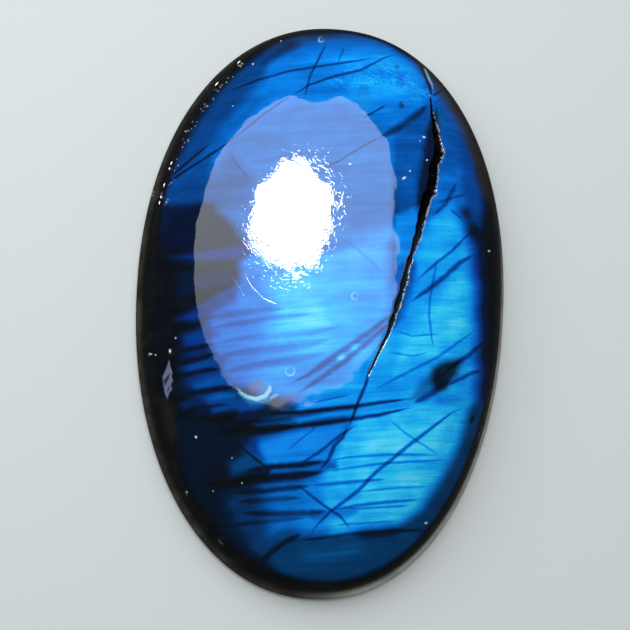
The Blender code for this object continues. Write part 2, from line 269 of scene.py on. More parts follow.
# Inner seams, cracks and dark bands: half width in pixels, darkness, softness, and the route in pixels
SEAMS = {
    "long top crack": (1.2, 0.62, 0.9, ((159, 188), (190, 168), (219, 149), (234, 138))),
    "long top crack, middle": (0.9, 0.42, 0.95, ((226, 144), (238, 135), (264, 114), (296, 92))),
    "long top crack, right": (1.1, 0.60, 0.9, ((288, 98), (309, 85), (335, 76), (361, 70), (386, 57),
        (399, 54))),
    "its branch": (1.1, 0.6, 0.9, ((168, 179), (190, 160), (212, 142))),
    "upper top crack": (1.1, 0.54, 0.9, ((222, 94), (258, 80), (289, 71), (342, 63), (381, 57))),
    "falling crack": (1.0, 0.55, 0.9, ((328, 40), (310, 76), (304, 100))),
    "short falling crack": (0.9, 0.35, 0.95, ((345, 46), (338, 62))),
    "thick top crack": (3.6, 0.62, 1.0, ((378, 138), (396, 130), (412, 119), (430, 103))),
    "shade left of the fissure": (6.0, 0.76, 1.0, ((437, 106), (433, 125), (430, 150), (426, 175),
        (421, 200), (415, 216))),
    "shade along the fissure, low": (6.0, 0.50, 1.0, ((416, 256), (409, 280), (402, 300), (396, 318),
        (390, 334))),
    "crack above the fissure": (1.8, 0.7, 0.95, ((417, 58), (425, 74), (430, 88), (432, 98))),
    "thin top crack": (0.9, 0.6, 0.9, ((362, 119), (374, 112), (388, 104))),
    "crack under the light": (1.0, 0.42, 0.95, ((322, 168), (339, 161), (358, 149), (384, 135))),
    "brown crack left of the light": (1.0, 0.3, 0.95, ((228, 152), (238, 166), (252, 182))),
    "crack to the rim": (1.1, 0.8, 0.9, ((432, 96), (443, 90), (452, 84))),
    "upper right hair": (1.3, 0.4, 1.0, ((435, 204), (452, 198), (469, 193))),
    "upper right bruise": (2.0, 0.45, 0.9, ((431, 217), (445, 205), (458, 180))),
    "right hair": (1.1, 0.35, 0.95, ((449, 208), (456, 214), (463, 220))),
    "thick right seam": (2.3, 0.60, 0.95, ((409, 303), (429, 289), (445, 276.5), (460, 262.5), (477, 253))),
    "thin right seam": (1.3, 0.5, 0.95, ((415, 282), (435, 264), (452, 251), (463, 239.5), (475, 229))),
    "upright hair": (1.1, 0.35, 0.95, ((438, 255), (434, 276.5), (430, 297), (429, 315), (432, 340),
        (435, 352))),
    "rising seam": (1.3, 0.35, 1.0, ((372, 391), (412, 370), (438, 357), (463, 339), (480, 327))),
    "seam out of the blotch": (2.1, 0.6, 0.95, ((440, 378), (452, 366), (468, 356), (486, 340))),
    "seam under the blotch": (1.8, 0.55, 0.95, ((446, 386), (460, 379), (472, 373), (484, 370))),
    "seam into the blotch": (2.8, 0.6, 1.0, ((412, 404), (426, 397), (440, 388), (452, 379))),
    "upper ribbon": (2.9, 0.45, 0.9, ((286, 386), (310, 374), (342, 351), (367, 334), (396, 311))),
    "lower ribbon": (2.7, 0.45, 0.9, ((294, 396), (318, 380), (348, 359), (384, 328), (398, 318))),
    "hair under the light": (1.1, 0.18, 1.0, ((335, 234), (355, 247), (371, 261), (386, 276))),
    "violet band 1": (2.8, 0.24, 0.9, ((200, 320), (226, 315), (251, 312), (289, 308))),
    "violet band 2": (2.6, 0.22, 0.9, ((206, 329), (232, 324), (264, 319), (316, 313))),
    "violet band 3": (3.0, 0.23, 0.9, ((214, 343), (251, 337), (309, 333), (346, 326))),
    "violet band 4": (3.8, 0.27, 0.9, ((218, 356), (262, 349), (310, 344), (336, 338))),
    "violet band 5": (3.8, 0.29, 0.9, ((220, 372), (251, 366), (290, 360), (330, 353))),
    "upper dark band": (4.0, 0.66, 1.0, ((200, 420), (224, 418), (250, 414), (290, 412))),
    "upper dark band, right": (1.9, 0.74, 0.9, ((262, 414), (302, 412), (352, 406.5), (389, 401.5),
        (418, 398))),
    "lower dark band": (3.2, 0.70, 1.0, ((214, 434), (240, 430), (266, 428), (300, 426))),
    "lower dark band, right": (1.9, 0.74, 0.9, ((280, 428), (310, 425), (347, 420), (378, 415),
        (414, 407))),
    "band above them": (1.1, 0.34, 0.9, ((310, 403), (330, 399), (352, 394))),
    "window floor, thick": (2.6, 0.74, 1.0, ((244, 471), (270, 467), (300, 465), (328, 461))),
    "window floor, right": (1.2, 0.36, 0.9, ((322, 461.5), (350, 457), (390, 454.5), (447, 455))),
    "dark shelf": (3.6, 0.78, 1.0, ((198, 486), (232, 482), (270, 478), (312, 474), (330, 470))),
    "shelf seam, right": (1.3, 0.36, 0.9, ((322, 472), (341, 469), (386, 463), (452, 459.5))),
    "second shelf": (2.5, 0.62, 0.95, ((232, 493), (262, 491), (292, 488), (314, 485))),
    "second shelf, right": (1.6, 0.42, 0.9, ((308, 486), (361, 481), (389, 479))),
    "hair over the stripes": (1.1, 0.32, 0.95, ((356, 492), (395, 488), (432, 486))),
    "third shelf": (2.6, 0.45, 1.0, ((234, 502), (268, 500), (304, 497))),
    "crossing band": (3.0, 0.6, 0.95, ((240, 513), (276, 514), (306, 513), (332, 511))),
    "crossing band, right": (1.6, 0.46, 0.9, ((328, 511), (357, 505.5), (390, 502), (424, 499))),
    "under the crossing": (1.1, 0.40, 0.95, ((340, 509), (366, 508), (416, 505))),
    "fifth shelf": (2.2, 0.4, 1.0, ((212, 527), (262, 522), (311, 517))),
    "low hair": (1.1, 0.3, 0.95, ((334, 525), (366, 523), (400, 521))),
    "foot band": (1.7, 0.50, 0.95, ((292, 541), (322, 538), (350, 534), (389, 531.5), (434, 529))),
    "long rising crack": (1.7, 0.56, 0.9, ((304, 542), (318, 524), (331, 511), (346, 500), (359, 490),
        (377, 471), (390, 461), (408, 446), (429, 430), (451, 413), (470, 404))),
    "faint falling crack": (1.0, 0.3, 0.95, ((388, 418), (404, 432), (420, 443), (441, 456))),
    "shade at the crossing": (5.0, 0.34, 1.0, ((304, 516), (322, 515), (344, 513), (362, 510))),
    "crossing crack": (1.4, 0.52, 0.9, ((292, 484), (304, 490), (326, 507), (340, 516), (353, 532))),
    "scratched crack": (1.2, 0.55, 0.9, ((206, 408), (227, 433), (240, 446), (252, 456), (266, 467),
        (280, 478))),
    "window crack": (1.5, 0.55, 0.9, ((296, 466), (318, 453), (342, 434), (358, 424))),
    "window hair": (0.9, 0.3, 0.95, ((286, 452), (302, 438), (316, 428))),
    "low left crack": (2.5, 0.62, 0.95, ((252, 570), (270, 553), (287, 541), (304, 532))),
    "left streak edge 1": (2.0, 0.62, 1.0, ((174, 352), (196, 348), (216, 343))),
    "left streak edge 2": (2.2, 0.66, 1.0, ((176, 365), (198, 359), (218, 353))),
    "left streak edge 3": (2.0, 0.66, 1.0, ((176, 378), (200, 371), (222, 368))),
    "left streak edge 4": (2.4, 0.70, 1.0, ((178, 396), (204, 391), (238, 386))),
    "left streak edge 5": (2.0, 0.45, 1.0, ((184, 411), (206, 407), (230, 404))),
    "ladder 1": (1.0, 0.3, 0.95, ((394, 330), (412, 336), (440, 334))),
    "ladder 2": (1.0, 0.28, 0.95, ((388, 352), (412, 356), (430, 352))),
    "fissure's tail": (1.5, 0.70, 0.9, ((371, 362), (366, 384), (359, 400), (352.5, 417), (348, 429))),
    "fissure's tail, low": (1.7, 0.62, 0.95, ((349, 424), (343, 437), (334, 446), (329, 459), (319, 471))),
    "tick": (1.6, 0.6, 0.9, ((470, 424), (474, 415))),
}

# Across a seam, in half widths: its farthest reach, where it starts to fade, and how far its edges waver
LAYER_REACH = 2.6
SEAM_FADE = 2.0
SEAM_WAVER = 1.0

# Along a seam, as shares of its length: how soon it is dark and how soon it is wide. Last, its width at an end
SEAM_TAPER = 0.14
SEAM_NARROWING = 0.3
SEAM_POINT = 0.3

# Marks on and in the stone: colour by name, opacity, softness in pixels, and corners in pixels
PAINTS = {
    "black": (9, 11, 14),
    "deep blue": (8, 42, 118),
    "olive": (58, 52, 42),
    "olive dark": (34, 33, 27),
    "violet grey": (112, 118, 152),
    "ink": (16, 18, 34),
    "tan": (128, 112, 86),
    "ice": (170, 232, 252),
    "azure": (70, 190, 250),
    "white": (236, 240, 236),
    "gold": (214, 206, 172),
}
MARKS = {
    "blotch fringe": ("deep blue", 0.62, 5, ((408, 402), (422, 380), (442, 364), (444, 388), (426, 398))),
    "dark blotch": ("black", 0.95, 5, ((432, 368), (446, 360), (463, 358), (458, 374), (446, 390),
        (436, 392), (430, 382))),
    "dark spot": ("ink", 0.75, 2, ((400, 102), (405, 103), (404, 108), (399, 108))),
    "small dark spot": ("ink", 0.6, 1.5, ((396, 65), (399, 66), (398, 69), (395, 68))),
    "olive shoulder": ("olive", 0.75, 5, ((408, 50), (430, 68), (462, 108), (482, 160), (490, 200),
        (484, 196), (470, 150), (450, 112), (420, 70))),
    "olive foot": ("olive dark", 0.8, 5, ((162, 398), (170, 402), (178, 434), (172, 444), (163, 424))),
    "top rim": ("olive dark", 0.55, 4, ((262, 44), (325, 30), (390, 44), (330, 40), (270, 52))),
    # The chip's flat facet is painted violet grey as a painted reflection of the light, and its darker parts as
    # painted shadows
    "chip": ("violet grey", 0.95, 0.7, ((169, 360), (170.5, 368), (172.5, 373), (171, 376), (173, 381),
        (170.5, 384), (172, 389), (169, 393), (167, 399), (164, 393), (162.3, 384), (162, 376),
        (165, 370))),
    "chip's shadow": ("ink", 0.85, 0.7, ((162.5, 381), (166, 376), (169.5, 373), (168, 378), (164, 386))),
    "chip's lower shadow": ("ink", 0.6, 0.7, ((166, 390), (170, 384), (170.5, 386), (167, 393))),
    "stain under the scoop": ("tan", 0.32, 4, ((270, 398), (296, 392), (300, 400), (282, 408), (272, 408))),
    "scoop floor": ("tan", 0.45, 2.5, ((248, 386), (255, 380), (264, 382), (266, 389), (258, 395),
        (250, 392))),
    # Painted highlights where the scoop's lower rim catches the light, with a softer painted azure glow under
    # them
    "scoop lip highlight": ("ice", 0.8, 0.8, ((236, 387), (241, 391), (247, 395), (256, 397), (264, 394),
        (268, 389), (269, 385), (272, 387), (271, 392), (266, 398), (257, 401), (247, 399), (240, 394))),
    "scoop lip highlight, outer": ("ice", 0.4, 0.8, ((270, 397), (275, 393), (279, 394), (276, 397), (271, 400))),
    "scoop glow": ("azure", 0.35, 3.0, ((240, 394), (256, 400), (272, 396), (268, 403), (250, 404))),
    "pale edge of the top crack": ("ice", 0.7, 0.6, ((424, 68), (426, 70), (430, 79), (432.5, 84),
        (433, 90), (431.5, 85), (428, 79))),
    "olive spots by the fissure": ("olive", 0.5, 1.2, ((455, 98), (460, 100), (464, 112), (459, 110))),
}

# Nicks in the polish, painted as bright white glints: x and y in pixels
NICK_GLINTS = (
    (489, 251), (213, 491), (187, 492), (219, 544), (426, 523), (196, 437), (163, 173), (168, 162),
    (159.5, 182), (156, 202), (152, 212), (150.5, 354), (155.5, 355), (175.7, 338), (170, 351),
    (424, 137), (420, 141), (410, 171), (404, 178), (427, 160), (233, 106), (253, 64), (281, 41),
    (232, 458), (242, 483), (350, 164),
)
NICK_RADIUS = 0.8
NICK_REACH = 1.5
NICK_SIZES = (0.6, 1.2)
NICK_STRETCH = (1.0, 2.0)
NICK_EDGE = (0.5, 1.5)
GLITTER_OPACITY = 0.7

# Small round pits whose rims are painted as pale highlight rings, brighter on one side: middle, radius and half
# width of the ring, in pixels
RINGS = ((355, 296, 3.4, 0.9), (290, 371, 4.4, 1.0), (321, 39.5, 2.3, 0.7))
RING_OPACITY = 0.55
RING_SHADE = 0.45
RING_EDGE = (0.3, 1.6)

# Open scratches in the polish: half width and route in pixels
SCRATCHES = {
    "curved scratch": (0.9, ((243, 270), (252, 286), (264, 298), (281, 306))),
    "left scratch": (0.8, ((229, 272), (238, 284), (246, 298))),
    "short scratch above": (0.9, ((329, 118), (334, 123), (338, 126))),
    "right scratch": (1.0, ((336, 212), (340, 204), (343, 192))),
    "foot scratch": (0.8, ((399, 549), (404, 551), (411, 550.5))),
    "long fine scratch": (0.8, ((206, 404), (214, 418), (226, 430))),
}
SCRATCH_SOFTNESS = 0.8

# How the stone's layers lie: lean in the picture, and turn of the streaks on the stone
LAYER_LEAN = math.radians(8)
LAYER_TURN = math.radians(8)
FEATHER_TURN = math.radians(-28)
POOL_WANDER = 1.2
POOL_RIPPLES = (34, 26)
POOL_STRETCH = 4

# Where the plain body gives way: to the flash by its tone, at the rim by the reach, down the wall by the ring
BODY_TONE = 0.025
FLASH_SHOWS = (0.0, 0.06)
RIM_FADE = (0.968, 1.0)
WALL_FADE = (1.6, 4.2)

# Feathered places, where the flash breaks up into fine slanting flecks: corners and softness in pixels
FEATHERS = (
    ((330, 70), (385, 62), (428, 84), (432, 104), (395, 88), (330, 86)),
    ((428, 94), (440, 92), (444, 108), (436, 112)),
)
FEATHER_SOFTNESS = 12

# Grain: cells along X, Y and Z in millimetres, their turn about Z, detail, seed, and a ramp of the noise
GRAINS = {
    "broad streaks": ((7, 0.7, 2), LAYER_TURN, 2.0, 3.0, None),
    "fine streaks": ((3, 0.16, 1), LAYER_TURN, 3.0, 5.0, None),
    "clouds": ((1.6, 1.6, 1.6), 0.0, 3.0, 7.0, None),
    "speckles": ((0.13, 0.13, 0.13), 0.0, 2.0, 11.0, None),
    "bright hairs": ((2.2, 0.10, 1), LAYER_TURN, 2.0, 67.0, (0.58, 0.75)),
    "feather flecks": ((0.55, 0.12, 0.3), FEATHER_TURN, 4.0, 13.0, (0.48, 0.68)),
    "feather grit": ((0.16, 0.16, 0.16), 0.0, 2.0, 17.0, (0.45, 0.65)),
    "seam waver": ((0.35, 0.35, 0.35), 0.0, 3.0, 19.0, None),
    "body clouds": ((2.5, 0.8, 1.5), LAYER_TURN, 4.0, 23.0, None),
    "needles": ((1.2, 0.10, 0.3), LAYER_TURN, 3.0, 29.0, (0.58, 0.72)),
    "glints": ((3.0, 0.5, 1.0), LAYER_TURN, 2.0, 31.0, (0.62, 0.80)),
    "lip teeth": ((0.16, 0.16, 0.16), 0.0, 3.0, 37.0, None),
    "lip chips": ((0.14, 0.30, 0.2), 0.0, 2.0, 41.0, (0.48, 0.60)),
    "dents": ((0.30, 0.30, 0.30), 0.0, 2.0, 43.0, (0.55, 0.75)),
    "worms": ((0.30, 0.48, 0.4), 0.5, 1.0, 47.0, None),
    "worn patches": ((0.34, 0.34, 0.34), 0.0, 1.0, 53.0, (0.46, 0.54)),
    "saw marks": ((6, 0.12, 1), math.radians(31), 3.0, 59.0, None),
    "sawn mottling": ((1.2, 1.2, 1.2), 0.0, 5.0, 61.0, None),
}

# How far each grain varies the brightness of the flash, and what the feathered places add to it
FLASH_GRAINS = {"broad streaks": 0.55, "fine streaks": 0.34, "clouds": 0.40, "speckles": 0.12}
HAIR_GAIN = 0.10
FLECK_GAIN = 0.16
GRIT_GAIN = 0.12
FEATHER_SHADE = 0.05

# Depths of what the bump shows, and where the polish is scuffed: most round the lamp's mirror image
SCUFFED_ALL_OVER = 0.10
SCUFF_FADE = (1.2, 1.65)
SCUFF_DEPTH = 0.0017 * MM
DENT_SHARE = 0.15
WORM_WIDTH = 0.09
SCRATCH_DEPTH = 0.003 * MM
SAW_DEPTH = 0.02 * MM

# Gloss: roughness of the polish and what other places add to it, and the stone's index of refraction
POLISH_ROUGHNESS = 0.03
SIDE_ROUGHNESS = 0.15
BACK_ROUGHNESS = 0.30
HOLLOW_ROUGHNESS = 0.12
LIP_ROUGHNESS = 0.20
REFRACTION = 1.56

# Screen colours of the flash, from its darkest to its brightest
BLUE_FLASH = (
    (0.00, (9, 11, 14)),
    (0.14, (8, 34, 68)),
    (0.31, (4, 80, 160)),
    (0.43, (6, 110, 208)),
    (0.56, (12, 142, 240)),
    (0.69, (26, 176, 250)),
    (0.80, (52, 206, 254)),
    (1.00, (130, 236, 255)),
)
INDIGO_FLASH = (
    (0.00, (8, 9, 16)),
    (0.12, (10, 22, 70)),
    (0.30, (10, 58, 170)),
    (0.45, (22, 96, 224)),
    (0.70, (60, 150, 248)),
)
TEAL_FLASH = (
    (0.00, (8, 11, 13)),
    (0.14, (7, 34, 50)),
    (0.28, (9, 66, 98)),
    (0.45, (16, 112, 156)),
    (0.70, (40, 172, 214)),
)

# Screen colours of the plain body, the side, the sawn back and the fissure, with what is mixed into them
BODY = ((0.30, (9, 11, 13)), (0.50, (13, 16, 17)), (0.70, (24, 27, 26)))
SIDE_BODY = ((0.30, (40, 38, 34)), (0.50, (58, 55, 50)), (0.70, (80, 77, 70)))
# Painted highlight on the wall: the side that faces the lower right is painted pale, as where it catches the
# light, by this aim and ramp
LIT_SIDE_PAINTED = ((0.30, (168, 170, 160)), (0.50, (198, 200, 190)), (0.70, (216, 217, 208)))
LIT_SIDE_AIM = (1.6, 1.2)
LIT_SIDE_FACING = (0.50, 0.85)
NEEDLE = (60, 64, 60)
NEEDLE_SHARE = 0.2
GLINT = (10, 34, 66)
GLINT_SHARE = 0.5
SAWN = ((0.35, (58, 61, 58)), (0.55, (82, 85, 80)), (0.70, (106, 108, 100)))
HOLLOW = (6, 6, 7)
TEAL_HOLLOW = (18, 40, 50)
BROWN_LIP = (96, 84, 66)
BROWN_LIP_SHARE = 0.6
PALE_LIP = (150, 150, 130)

# The fissure's look: across it in half widths, lips in millimetres, and stretches as shares of its length
FISSURE_FAR = 6.0
HOLLOW_EDGE = (0.88, 1.04)
LIP_TEETH = 0.8
LIP_OFFSET = 0.02
PALE_LIP_FADE = (0.02, 0.09)
BROWN_LIP_FADE = (0.03, 0.135)
PALE_LIP_START = (0.10, 0.16)
BROWN_LIP_START = (0.50, 0.60)
TEAL_START = (0.42, 0.55)


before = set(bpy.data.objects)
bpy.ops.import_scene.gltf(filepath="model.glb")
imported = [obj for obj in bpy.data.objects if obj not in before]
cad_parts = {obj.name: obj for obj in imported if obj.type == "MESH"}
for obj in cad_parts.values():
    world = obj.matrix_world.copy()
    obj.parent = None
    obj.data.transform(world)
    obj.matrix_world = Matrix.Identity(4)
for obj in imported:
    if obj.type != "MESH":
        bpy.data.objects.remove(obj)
CAD_BOX = [list(corner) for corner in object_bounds()]
THICKNESS = CAD_BOX[1][2]
FOOT_WIDTH = WIDTH / 2 - WALL_LEAN
FOOT_LENGTH = LENGTH / 2 - WALL_LEAN
FOOT_HEIGHT = BEVEL_HEIGHT + WALL_HEIGHT


class Field:
    """A number in a node tree. Arithmetic on it adds nodes, so that a formula reads as on paper."""

    def __init__(self, tree, socket):
        self.tree = tree
        self.socket = socket

    def math(self, operation, *others, clamp=False):
        inputs = dict(enumerate((self, *others)))
        node = add(self.tree, "ShaderNodeMath", inputs, operation=operation, use_clamp=clamp)
        return Field(self.tree, node.outputs[0])

    def __add__(self, other):
        return self.math("ADD", other)

    def __sub__(self, other):
        return self.math("SUBTRACT", other)

    def __rsub__(self, other):
        return self.math("MULTIPLY", -1.0) + other

    def __mul__(self, other):
        return self.math("MULTIPLY", other)

    def __truediv__(self, other):
        return self.math("DIVIDE", other)

    def __pow__(self, other):
        return self.math("POWER", other)

    def __abs__(self):
        return self.math("ABSOLUTE")

    def __rtruediv__(self, other):
        return (self**-1.0) * other

    __radd__ = __add__
    __rmul__ = __mul__

    def clamped(self):
        return self.math("ADD", 0.0, clamp=True)

    def ramped(self, low, high, first=0.0, last=1.0):
        """Runs smoothly from first at low to last at high, and stays there beyond."""
        inputs = {"Value": self, "From Min": low, "From Max": high, "To Min": first, "To Max": last}
        node = add(self.tree, "ShaderNodeMapRange", inputs, interpolation_type="SMOOTHSTEP")
        return Field(self.tree, node.outputs[0])


def add(tree, kind, inputs=None, **settings):
    """Adds a node with these settings, and feeds the inputs that are named or numbered."""
    node = tree.nodes.new(kind)
    for name, value in settings.items():
        setattr(node, name, value)
    for socket, value in (inputs or {}).items():
        feed(tree, node.inputs[socket], value)
    return node


def feed(tree, socket, value):
    """Links a field or a socket to an input, or sets a plain value on it."""
    if isinstance(value, Field):
        tree.links.new(value.socket, socket)
    elif isinstance(value, bpy.types.NodeSocket):
        tree.links.new(value, socket)
    else:
        socket.default_value = value


def new_object(name, data):
    made = bpy.data.objects.new(name, data)
    bpy.context.scene.collection.objects.link(made)
    return made


def superellipse(across, along, power):
    """The reach of a place from the middle, where 1 is on the oval."""
    return (abs(across) ** power + abs(along) ** power) ** (1 / power)


def smoothed(low, high, value):
    """Runs smoothly from 0 at low to 1 at high, for arrays."""
    share = np.clip((value - low) / (high - low), 0, 1)
    return share * share * (3 - 2 * share)


# The stone's form

FORM_SIZES = {
    "Width": WIDTH,
    "Length": LENGTH,
    "Thickness": THICKNESS,
    "Squareness": SQUARENESS,
    "Egg": EGG,
    "End Drift": END_DRIFT,
    "Bevel Height": BEVEL_HEIGHT,
    "Bevel Inset": BEVEL_INSET,
    "Wall Height": WALL_HEIGHT,
    "Wall Lean": WALL_LEAN,
    "Crown Share": CROWN_SHARE,
    "Shoulder Power": SHOULDER_POWER,
    "Foot Power": FOOT_POWER,
}
FORM_COUNTS = {"Grid Across": DOME_ACROSS, "Grid Along": DOME_ALONG}


def form_tree():
    """Geometry nodes for the stone: a grid rounded to a disc, walled by extruded rings, then shaped."""
    tree = bpy.data.node_groups.new("cabochon_form", "GeometryNodeTree")
    inputs = {name: "NodeSocketFloat" for name in FORM_SIZES}
    inputs |= {name: "NodeSocketInt" for name in FORM_COUNTS}
    inputs["Material"] = "NodeSocketMaterial"
    for name, kind in inputs.items():
        tree.interface.new_socket(name=name, in_out="INPUT", socket_type=kind)
    tree.interface.new_socket(name="Geometry", in_out="OUTPUT", socket_type="NodeSocketGeometry")
    source = add(tree, "NodeGroupInput")
    size = {name: Field(tree, source.outputs[name]) for name in inputs}
    counts = {"Vertices X": size["Grid Across"], "Vertices Y": size["Grid Along"]}
    grid = add(tree, "GeometryNodeMeshGrid", {"Size X": 2.0, "Size Y": 2.0, **counts})
    mesh = store(tree, grid.outputs["Mesh"], "disc", disc_position(tree), "FLOAT_VECTOR")
    mesh = walled(tree, mesh)
    for kind, values in (
        ("GeometryNodeSetPosition", {"Position": stone_position(tree, size)}),
        ("GeometryNodeMergeByDistance", {"Distance": MERGE_DISTANCE}),
        ("GeometryNodeRealizeInstances", {}),
        ("GeometryNodeSetMaterial", {"Material": size["Material"]}),
    ):
        mesh = add(tree, kind, {0: mesh, **values}).outputs[0]
    add(tree, "NodeGroupOutput", {0: mesh})
    return tree


def store(tree, mesh, name, value, kind, where=True):
    values = {"Geometry": mesh, "Name": name, "Value": value, "Selection": where}
    node = add(tree, "GeometryNodeStoreNamedAttribute", values, data_type=kind, domain="POINT")
    return node.outputs["Geometry"]


def disc_position(tree):
    """The square grid, -1 to 1 each way, rounded to a disc with no crease."""
    x, y = components(tree, add(tree, "GeometryNodeInputPosition").outputs[0])[:2]
    return combined(tree, x * (1 - y * y * 0.5) ** 0.5, y * (1 - x * x * 0.5) ** 0.5, 0.0)


def components(tree, vector):
    return [Field(tree, output) for output in add(tree, "ShaderNodeSeparateXYZ", {0: vector}).outputs]


def combined(tree, x, y, z):
    return add(tree, "ShaderNodeCombineXYZ", {0: x, 1: y, 2: z}).outputs[0]


def walled(tree, mesh):
    """Extrudes the edge of the disc once for each ring of wall and bevel, and once more for the back."""
    neighbours = add(tree, "GeometryNodeInputMeshEdgeNeighbors")
    # An edge on the disc's rim has one face, and any other has two
    edge = Field(tree, neighbours.outputs[0]).math("LESS_THAN", 1.5)
    for ring in range(1, WALL_STEPS + BEVEL_STEPS + 2):
        values = {"Mesh": mesh, "Selection": edge, "Offset Scale": 0.0}
        extruded = add(tree, "GeometryNodeExtrudeMesh", values, mode="EDGES")
        edge = extruded.outputs["Top"]
        mesh = store(tree, extruded.outputs["Mesh"], "ring", float(ring), "FLOAT", edge)
    return mesh


def named(tree, name, kind):
    node = add(tree, "GeometryNodeInputNamedAttribute", {"Name": name}, data_type=kind)
    return node.outputs["Attribute"]


def stone_position(tree, size):
    """Where each point of the walled disc goes on the stone."""
    across, along, _ = components(tree, named(tree, "disc", "FLOAT_VECTOR"))
    ring = Field(tree, named(tree, "ring", "FLOAT"))
    spread = (across * across + along * along) ** 0.5
    far = spread.math("MAXIMUM", TINY)
    reach = superellipse(across / far, along / far, size["Squareness"])
    wall = (ring / WALL_STEPS).clamped()
    turn = ((ring - WALL_STEPS) / BEVEL_STEPS).clamped() * (math.pi / 2)
    closing = (ring - (WALL_STEPS + BEVEL_STEPS)).clamped()
    inset = size["Wall Lean"] * (1 - wall) + size["Bevel Inset"] * (1 - turn.math("COSINE"))
    grown = (1 - closing) / reach
    y = (size["Length"] * 0.5 - inset) * along * grown
    share = y / (size["Length"] * 0.5)
    x = (size["Width"] * 0.5 - inset) * across * grown * (1 + size["Egg"] * share)
    x = x + size["End Drift"] * share * share
    foot = size["Bevel Height"] + size["Wall Height"]
    crown = size["Crown Share"]
    fall = crown * spread * spread + (1 - crown) * spread ** size["Shoulder Power"]
    dome = (size["Thickness"] - foot) * (1 - fall).math("MAXIMUM", 0.0) ** size["Foot Power"]
    z = foot + dome - size["Wall Height"] * wall - size["Bevel Height"] * turn.math("SINE")
    return combined(tree, x, y, z)


def form_mesh(material):
    """The stone's plain form, baked to a mesh."""
    values = {**FORM_SIZES, **FORM_COUNTS, "Material": material}
    carrier = new_object("carrier", bpy.data.meshes.new("carrier"))
    modifier = carrier.modifiers.new("form", "NODES")
    modifier.node_group = form_tree()
    for item in modifier.node_group.interface.items_tree:
        if item.in_out == "INPUT":
            modifier[item.identifier] = values[item.name]
    graph = bpy.context.evaluated_depsgraph_get()
    mesh = bpy.data.meshes.new_from_object(carrier.evaluated_get(graph))
    bpy.data.objects.remove(carrier)
    return mesh


def spread_at(x, y):
    """How far out a place on the plan is: 0 in the middle and 1 at the dome's foot."""
    share = y / (LENGTH / 2)
    straight = (x - END_DRIFT * share**2) / (1 + EGG * share)
    return superellipse(straight / FOOT_WIDTH, y / FOOT_LENGTH, SQUARENESS)


def height_at(x, y):
    """Height of the plain dome over a place on the plan."""
    spread = np.minimum(spread_at(x, y), 1.0)
    fall = CROWN_SHARE * spread**2 + (1 - CROWN_SHARE) * spread**SHOULDER_POWER
    return FOOT_HEIGHT + (THICKNESS - FOOT_HEIGHT) * np.maximum(0.0, 1 - fall) ** FOOT_POWER


def normal_at(x, y):
    """Upward unit normals of the plain dome."""
    step = SLOPE_STEP
    east = (height_at(x + step, y) - height_at(x - step, y)) / (2 * step)
    north = (height_at(x, y + step) - height_at(x, y - step)) / (2 * step)
    normal = np.stack([-east, -north, np.ones_like(east)], axis=-1)
    return normal / np.linalg.norm(normal, axis=-1, keepdims=True)


# The camera, and the way from a pixel to the stone


def camera_axes():
    """Unit vectors to the right of the picture, up it, and back to the camera."""
    back = Vector((-math.tan(TILT_ACROSS), -math.tan(TILT_ALONG), 1)).normalized()
    right = Vector((0, 1, 0)).cross(back).normalized()
    up = back.cross(right)
    turned = right * math.cos(ROLL) + up * math.sin(ROLL)
    return turned, back.cross(turned), back


def make_camera():
    right, up, back = camera_axes()
    data = bpy.data.cameras.new("camera")
    data.lens = LENS
    data.sensor_width = SENSOR
    data.clip_start = CLIP_START
    data.clip_end = CLIP_END
    camera = new_object("camera", data)
    turn = Matrix((right, up, back)).transposed().to_4x4()
    camera.matrix_world = Matrix.Translation(AIM + back * DISTANCE) @ turn
    bpy.context.scene.camera = camera


def on_stone(pixel_x, pixel_y):
    """The points of the dome that the camera sees at these pixels."""
    right, up, back = (np.array(axis) for axis in camera_axes())
    eye = np.array(AIM) + back * DISTANCE
    scale = SENSOR / LENS / PICTURE
    pixel_x = np.asarray(pixel_x, float)[..., None]
    pixel_y = np.asarray(pixel_y, float)[..., None]
    ray = right * (pixel_x - PICTURE / 2) * scale - up * (pixel_y - PICTURE / 2) * scale - back
    height = np.full(ray.shape[:-1], THICKNESS)
    for _ in range(SIGHT_ROUNDS):
        point = eye + ray * ((height - eye[2]) / ray[..., 2])[..., None]
        height = (height + height_at(point[..., 0], point[..., 1])) / 2
    return point


def seen_at(points):
    """The pixels at which the camera sees these points."""
    right, up, back = (np.array(axis) for axis in camera_axes())
    offset = points - (np.array(AIM) + back * DISTANCE)
    scale = LENS / SENSOR * PICTURE / -(offset @ back)
    return PICTURE / 2 + offset @ right * scale, PICTURE / 2 - offset @ up * scale


# Fine relief of the surface


def wander(x, y, length, seed):
    """A smooth random field of about -1 to 1, with ripples of about this length."""
    rng = np.random.default_rng(seed)
    total = np.zeros_like(x)
    for _ in range(WANDER_WAVES):
        turn = rng.uniform(0, math.tau)
        wave = length * rng.uniform(*WANDER_LENGTHS)
        run = (x * math.cos(turn) + y * math.sin(turn)) * math.tau / wave
        total += np.sin(run + rng.uniform(0, math.tau))
    return total / math.sqrt(WANDER_WAVES)


def relief(x, y):
    """How far hollows, pits and the waves of the polish push the surface down at each place."""
    rng = np.random.default_rng(SEED)
    depth = np.zeros_like(x)
    for across, along, radius, length, deep in HOLLOWS.values():
        depth += hollow(x, y, across * MM, along * MM, radius * MM, length * MM, deep * MM)
    for _ in range(POLISH_WAVES):
        length = rng.uniform(*POLISH_WAVE_LENGTHS)
        turn = rng.uniform(0, math.tau)
        phase = rng.uniform(0, math.tau)
        run = (x * math.cos(turn) + y * math.sin(turn)) * math.tau / length + phase
        depth += POLISH_SLOPE * length / math.tau / math.sqrt(POLISH_WAVES) * np.sin(run)
    return depth


